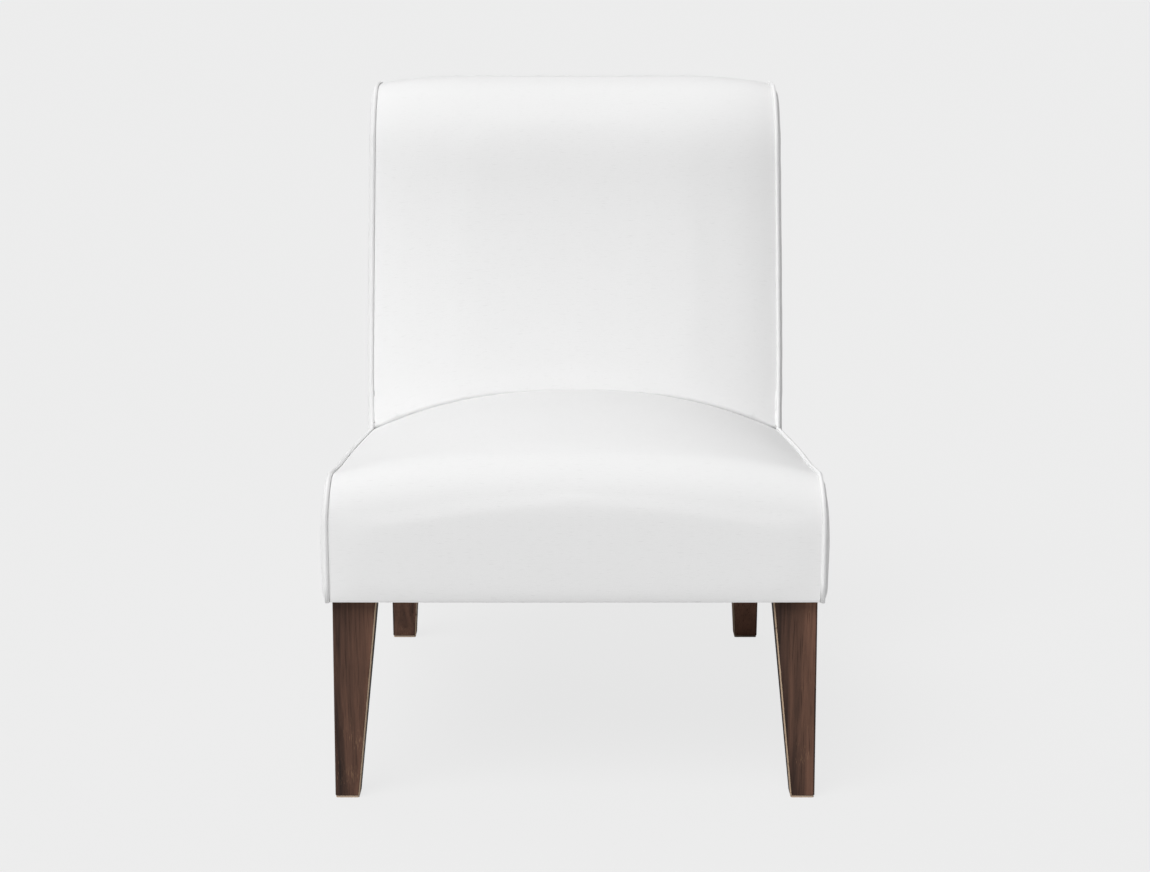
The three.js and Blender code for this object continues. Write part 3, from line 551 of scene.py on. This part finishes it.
def white_cover_cloth(name, weave_turn=0.0):
    # A fine plain weave, drawn at 1 mm, twice the real pitch, so that it can be seen close to; slubs in the
    # weft run across the chair as faint lines, 1 mm wide and 11 mm long
    cloth = blank(name)
    place = node(cloth, "UVMap").outputs[0]
    turned = node(cloth, "Mapping", {"Vector": place, "Rotation": (0, 0, weave_turn)}).outputs[0]
    thread_pitch = 0.001
    warp = node(cloth, "TexWave", {
        "Vector": turned, "Scale": bands(thread_pitch), "Distortion": 0.3}, bands_direction="X")
    weft = node(cloth, "TexWave", {
        "Vector": turned, "Scale": bands(thread_pitch), "Distortion": 0.3}, bands_direction="Y")
    weave = node(cloth, "Math", {0: warp.outputs["Fac"], 1: weft.outputs["Fac"]}, operation="MULTIPLY")
    drawn = node(cloth, "Mapping", {"Vector": turned, "Scale": (90, 900, 1)})
    slubs = node(cloth, "TexNoise", {"Vector": drawn.outputs[0], "Scale": 1, "Detail": 2})
    slub = node(cloth, "MapRange", {"Value": slubs.outputs["Fac"], "From Min": 0.6, "From Max": 0.75})
    tone = ramp(cloth, weave.outputs[0], 0.0, 0.6, "#e7e7e7", "#f2f2f2")
    colour = node(cloth, "Mix", {0: slub.outputs[0], 6: tone, 7: linear("#e4e4e4")}, data_type="RGBA")
    height = node(cloth, "Math", {0: slub.outputs[0], 1: weave.outputs[0]}, operation="ADD")
    bump = node(cloth, "Bump", {"Height": height.outputs[0], "Strength": 0.3, "Distance": 0.0002})
    shader = node(cloth, "BsdfPrincipled", {
        "Base Color": colour.outputs[2], "Roughness": 0.9, "Sheen Weight": 0.12, "Sheen Roughness": 0.5,
        "Normal": bump.outputs[0]})
    node(cloth, "OutputMaterial", {"Surface": shader.outputs[0]})
    return cloth


cloth_thickness = 0.0015


def outer_skin(name, core):
    """The outer face of a CAD cover; core is the soft node that it covers."""
    skin = welded(name)
    inside = welded(core)
    tree = BVHTree.FromBMesh(inside)
    inside.free()
    hidden = []
    for face in skin.faces:
        centre = face.calc_center_median()
        away = centre - tree.find_nearest(centre)[0]
        edge_strip = min(edge.calc_length() for edge in face.edges) < cloth_thickness * 1.6
        faces_out = away.normalized().dot(face.normal) >= 0.6
        if edge_strip or not faces_out:
            hidden.append(face)
    bmesh.ops.delete(skin, geom=hidden, context="FACES")
    return skin


border_corner = math.radians(140)


def keep_folds(skin):
    """Holds a skin's folds, and the corners of its border, where it is subdivided."""
    fold = skin.edges.layers.float.new("crease_edge")
    corner = skin.verts.layers.float.new("crease_vert")
    for edge in skin.edges:
        if edge.calc_face_angle(0) > fold_angle:
            edge[fold] = 1
    for vert in skin.verts:
        border = [edge.other_vert(vert).co - vert.co for edge in vert.link_edges if edge.is_boundary]
        if len(border) == 2 and border[0].angle(border[1]) < border_corner:
            vert[corner] = 1


def lay_out(skin, start):
    """Gives a cover its flat pattern in metres: x across, and upwards the length of cloth from start."""
    rows = [set(start)]
    seen = set(start)
    while rows[-1]:
        rows.append({edge.other_vert(vert) for vert in rows[-1] for edge in vert.link_edges} - seen)
        seen |= rows[-1]
    middles = [min(row, key=lambda vert: abs(vert.co.x)).co for row in rows[:-1]]
    length = {}
    run = 0
    for k, row in enumerate(rows[:-1]):
        run += (middles[k] - middles[k - 1]).length if k else 0
        for vert in row:
            length[vert] = run
    pattern = skin.loops.layers.uv.new("pattern")
    for face in skin.faces:
        for loop in face.loops:
            loop[pattern].uv = loop.vert.co.x, length[loop.vert]
    return run


foam_pressure = 4
cloth_give = 0.002
settling_steps = 20


def pulled_tight(made):
    """Lets a cover settle as cloth that is held along its border and pressed out by its foam."""
    border = {vert for edge in border_edges(made.data) for vert in edge}
    held = made.vertex_groups.new(name="held")
    held.add(list(border), 1, "REPLACE")
    cloth = made.modifiers.new("cloth", "CLOTH")
    cloth.settings.quality = 5
    cloth.settings.mass = 0.25
    cloth.settings.tension_stiffness = cloth.settings.compression_stiffness = 25
    cloth.settings.bending_stiffness = 1.5
    cloth.settings.use_pressure = True
    cloth.settings.uniform_pressure_force = foam_pressure
    cloth.settings.vertex_group_mass = "held"
    cloth.settings.effector_weights.gravity = 0
    cloth.point_cache.frame_end = settling_steps
    for moment in range(1, settling_steps + 1):
        bpy.context.scene.frame_set(moment)
    settled = made.evaluated_get(bpy.context.evaluated_depsgraph_get())
    moves = [now.co - was.co for now, was in zip(settled.data.vertices, made.data.vertices)]
    made.modifiers.clear()
    made.vertex_groups.clear()
    bpy.context.scene.frame_set(1)
    for vert, move in zip(made.data.vertices, moves):
        # The foam keeps the cloth from sinking
        move -= vert.normal * min(0, move.dot(vert.normal))
        vert.co += move * min(1, cloth_give / max(move.length, 1e-9))


def border_edges(mesh):
    """Pairs of vertices along a mesh's open border."""
    uses = {}
    for face in mesh.polygons:
        for key in face.edge_keys:
            uses[key] = uses.get(key, 0) + 1
    return [key for key, count in uses.items() if count == 1]


seam_drop = 0.0012
seam_reach = 0.0006
seam_wall = 0.002
fold_radius = 0.0005
hem_width = 0.0042
hem_rise = 0.0016
# Below this height a border runs along the covers' bottom edge
bottom_edge = 0.2385


def turn_in(made, panel):
    """Folds a cover's border down beside the welt, and under the frame along the bottom."""
    skin = bmesh.new()
    skin.from_mesh(made.data)
    skin.normal_update()
    rim = [edge for edge in skin.edges if edge.is_boundary]
    down = {}
    over = {}
    for vert in {vert for edge in rim for vert in edge.verts}:
        centres = [face.calc_center_median() for face in vert.link_faces]
        inner = sum(centres, Vector()) / len(centres)
        side = Vector((math.copysign(1, vert.co.x), 0, 0))
        borders = [edge for edge in vert.link_edges if edge.is_boundary]
        bottom = [edge for edge in borders if all(end.co.z < bottom_edge for end in edge.verts)]
        seams = [edge for edge in borders if edge not in bottom]
        sink = Vector()
        lean = Vector()
        if seams:
            outward = vert.co - inner
            if panel:
                sink, lean = -side, Vector((0, outward.y, outward.z)).normalized()
            else:
                first_end, last_end = seams[0].verts
                across = abs((first_end.co - last_end.co).normalized().x) > 0.7
                sink = -Vector((0, vert.normal.y, vert.normal.z)).normalized()
                lean = Vector() if across else side
        first = sink * seam_drop + lean * seam_reach
        second = sink * seam_wall
        if bottom:
            inward = -side if panel else Vector((0, math.copysign(1, -vert.co.y), 0))
            first = inward * hem_width + (lean * seam_reach if seams else Vector())
            second = Vector((0, 0, hem_rise))
        down[vert], over[vert] = first, second
    rows = [rim]
    for moves in (down, over):
        grown = bmesh.ops.extrude_edge_only(skin, edges=rows[-1])["geom"]
        fresh = {item for item in grown if isinstance(item, bmesh.types.BMVert)}
        for vert in fresh:
            source = next(edge.other_vert(vert) for edge in vert.link_edges
                          if edge.other_vert(vert) not in fresh)
            vert.co += moves[source]
            over[vert] = over.get(source, Vector())
        rows.append([item for item in grown if isinstance(item, bmesh.types.BMEdge) and item.is_boundary])
    bmesh.ops.bevel(skin, geom=rim, offset=fold_radius, segments=2, profile=0.5, affect="EDGES",
                    material=-1, clamp_overlap=True)
    skin.to_mesh(made.data)
    skin.free()
    made.data.shade_smooth()


def backed(made):
    """Gives a cover the thickness of its cloth, inwards."""
    wall = made.modifiers.new("thickness", "SOLIDIFY")
    wall.thickness = cloth_thickness
    wall.offset = -1


white_cloth = white_cover_cloth("white_cover_cloth")
behind_seat = 0.1735
back_cover_foot = 0.42
top_seam_above = 0.7
between_welts = 0.268
top_closing = 0.0018
seam_corner = Vector((0.1305, 0.339))
corner_size = 0.004
corner_reach = 0.0046
for name, core, under, foot in (
        ("seat_cover", "seat_foam", "seat_foam_block", lambda place: place.z < bottom_edge),
        ("back_cover", "back_foam", "back_foam_block",
         lambda place: place.y > behind_seat and place.z < back_cover_foot),
        ("outside_back_cover", "outside_back_padding", "outside_back_padding_layer",
         lambda place: place.z < bottom_edge)):
    skin = outer_skin(name, core)
    squared(skin)
    keep_folds(skin)
    border = [vert for vert in skin.verts if vert.is_boundary]
    length = lay_out(skin, [vert for vert in border if foot(vert.co)])
    for vert in border:
        # The outside back cover closes against the fold above it
        inside_seam = vert.co.z > top_seam_above and abs(vert.co.x) < between_welts
        if name == "outside_back_cover" and inside_seam:
            vert.co.z += top_closing
        # The covers' corners at the foot of the back come right up to the welt
        if (Vector(vert.co.yz) - seam_corner).length < corner_size:
            vert.co.x += math.copysign(corner_reach, vert.co.x)
    let_out(skin.verts)
    dipped(skin.verts)
    made = piece(f"{name}_cloth", skin, white_cloth, "cover_cloth", name)
    smoothed(made, 2)
    pulled_tight(made)
    smoothed(made, 1)
    turn_in(made, False)
    backed(made)

side_puff = 0.001
panel_step = 0.008
for side in ("left", "right"):
    skin = welded(f"{side}_side_cover")
    outwards = -1 if side == "left" else 1
    hidden = [face for face in skin.faces if face.normal.x * outwards < 0.4]
    bmesh.ops.delete(skin, geom=hidden, context="FACES")
    bmesh.ops.dissolve_limit(skin, angle_limit=math.radians(1), verts=skin.verts, edges=skin.edges)
    cut_in_squares(skin, f"{side}_side_cover", (1, 2), panel_step)
    for vert in skin.verts:
        if not vert.is_boundary:
            vert.co.x += side_puff * outwards
    let_out(skin.verts)
    dipped(skin.verts)
    pattern = skin.loops.layers.uv.new("pattern")
    for face in skin.faces:
        for loop in face.loops:
            loop[pattern].uv = loop.vert.co.y, loop.vert.co.z
    made = piece(f"{side}_side_cover_cloth", skin, white_cloth, "cover_cloth", f"{side}_side_cover")
    turn_in(made, True)
    backed(made)


# Welts: cotton cord in a bias strip of the cover cloth, 5 mm thick in all, sewn into each side seam. Each
# runs in one length up the front, along the seat, up the back, over its top and down to the rear bottom
# corner.

welt_radius = 0.0025


def wind_round(cord):
    """Gives a welt's strip of cloth its flat pattern in metres: u round the cord, v along it."""
    end = min(cord.verts, key=lambda vert: vert.co.z)
    rings = [{vert for vert in cord.verts if (vert.co - end.co).length < 2.4 * welt_radius}]
    seen = set(rings[0])
    while rings[-1]:
        rings.append({edge.other_vert(vert) for vert in rings[-1] for edge in vert.link_edges} - seen)
        seen |= rings[-1]
    rings.pop()
    middles = [sum((vert.co for vert in ring), Vector()) / len(ring) for ring in rings]
    run = 0
    turn = {}
    along = {}
    for k, ring in enumerate(rings):
        run += (middles[k] - middles[k - 1]).length if k else 0
        ahead = (middles[min(k + 1, len(rings) - 1)] - middles[max(k - 1, 0)]).normalized()
        out = Vector((1, 0, 0)).cross(ahead)
        for vert in ring:
            away = vert.co - middles[k]
            turn[vert] = math.atan2(away.dot(out), away.x)
            along[vert] = run
    pattern = cord.loops.layers.uv.new("pattern")
    for face in cord.faces:
        past = max(turn[vert] for vert in face.verts) - min(turn[vert] for vert in face.verts) > math.pi
        for loop in face.loops:
            angle = turn[loop.vert] + (2 * math.pi if past and turn[loop.vert] < 0 else 0)
            loop[pattern].uv = angle * welt_radius, along[loop.vert]


bias_cloth = white_cover_cloth("bias_cloth", math.radians(45))
welt_loss = 0.0004
# Rings along the seat let the cord bow with the cover, and two close to the corner at the foot of the back
# let it turn there in a short bend: the place of each, and what it is square to
rings_at = [((0, place, 0), (0, 1, 0))
            for place in (-0.28, -0.245, -0.205, -0.15, -0.09, -0.03, 0.035, 0.085)]
rings_at += [((0, 0.1215, 0.3398), (0, 1, -0.09)), ((0, 0.1340, 0.3474), (0, 0.38, 0.92))]
seat_run = -0.31, 0.15
seat_band = 0.32, 0.4
for side in ("left", "right"):
    cord = welded(f"{side}_welt")
    squared(cord)
    for place, square in rings_at:
        close = {vert for vert in cord.verts if seat_run[0] < vert.co.y < seat_run[1]
                 and seat_band[0] < vert.co.z < seat_band[1]}
        close = [*close, *{edge for vert in close for edge in vert.link_edges},
                 *{face for vert in close for face in vert.link_faces}]
        bmesh.ops.bisect_plane(cord, geom=close, dist=1e-6, plane_co=place, plane_no=square)
    keep_folds(cord)
    wind_round(cord)
    let_out(cord.verts)
    dipped(cord.verts)
    made = piece(f"{side}_welt_cord", cord, bias_cloth, "welt_cloth", f"{side}_welt")
    smoothed(made, 2)
    plumped(made, welt_loss)


# Surroundings: a plain pale floor that keeps the chair's faint shadow, a wide soft box high at the front
# left and a weaker one behind in an evenly lit studio, and a camera at the photograph's place.

floor_mesh = bpy.data.meshes.new("floor")
ground = bmesh.new()
floor_reach = 200
bmesh.ops.create_grid(ground, x_segments=1, y_segments=1, size=floor_reach)
ground.to_mesh(floor_mesh)
ground.free()
floor = bpy.data.objects.new("floor", floor_mesh)
bpy.context.scene.collection.objects.link(floor)

paper = blank("pale_paper")
lit = node(paper, "BsdfDiffuse", {"Color": linear("#ececec")})
# The camera sees most of the floor's colour without the lamps, a little stronger to make up for its shade
even_share, even_strength = 0.92, 1.01
even = node(paper, "Emission", {"Color": linear("#ececec"), "Strength": even_strength})
looked_at = node(paper, "LightPath").outputs["Is Camera Ray"]
share = node(paper, "Math", {0: looked_at, 1: even_share}, operation="MULTIPLY")
seen = node(paper, "MixShader", {0: share.outputs[0], 1: lit.outputs[0], 2: even.outputs[0]})
below = node(paper, "NewGeometry").outputs["Backfacing"]
clear = node(paper, "BsdfTransparent")
both = node(paper, "MixShader", {0: below, 1: seen.outputs[0], 2: clear.outputs[0]})
node(paper, "OutputMaterial", {"Surface": both.outputs[0]})
floor_mesh.materials.append(paper)

# The room lights the chair weakly from all round, and shows as pale paper behind it and in metal
room_light = 0.125
world = bpy.data.worlds.new("studio")
world.use_nodes = True
world.node_tree.nodes.clear()
bpy.context.scene.world = world
path = node(world, "LightPath")
plain = node(world, "Math", {0: path.outputs["Is Camera Ray"], 1: path.outputs["Is Glossy Ray"]},
             operation="MAXIMUM")
around = node(world, "Mix", {
    0: plain.outputs[0], 6: (room_light, room_light, room_light, 1), 7: linear("#ececec")},
    data_type="RGBA")
background = node(world, "Background", {"Color": around.outputs[2]})
node(world, "OutputWorld", {"Surface": background.outputs[0]})

soft_box_angle = math.radians(45)
for name, energy, place in (("soft_box", 2.82, (-0.31, -0.49, 0.816)),
                            ("rear_soft_box", 0.4, (-0.35, 0.58, 0.74))):
    lamp = bpy.data.lights.new(name, "SUN")
    lamp.energy = energy
    lamp.angle = soft_box_angle
    box = bpy.data.objects.new(name, lamp)
    box.rotation_euler = Vector(place).to_track_quat("Z", "Y").to_euler()
    bpy.context.scene.collection.objects.link(box)

view = bpy.data.cameras.new("view")
view.lens = 65.739
view.sensor_width = 36
camera = bpy.data.objects.new("view", view)
camera.location = 0, -2.6145, 0.9127
camera.rotation_euler = math.radians(78), 0, 0
bpy.context.scene.collection.objects.link(camera)
bpy.context.scene.camera = camera
bpy.context.scene.view_settings.view_transform = "Standard"
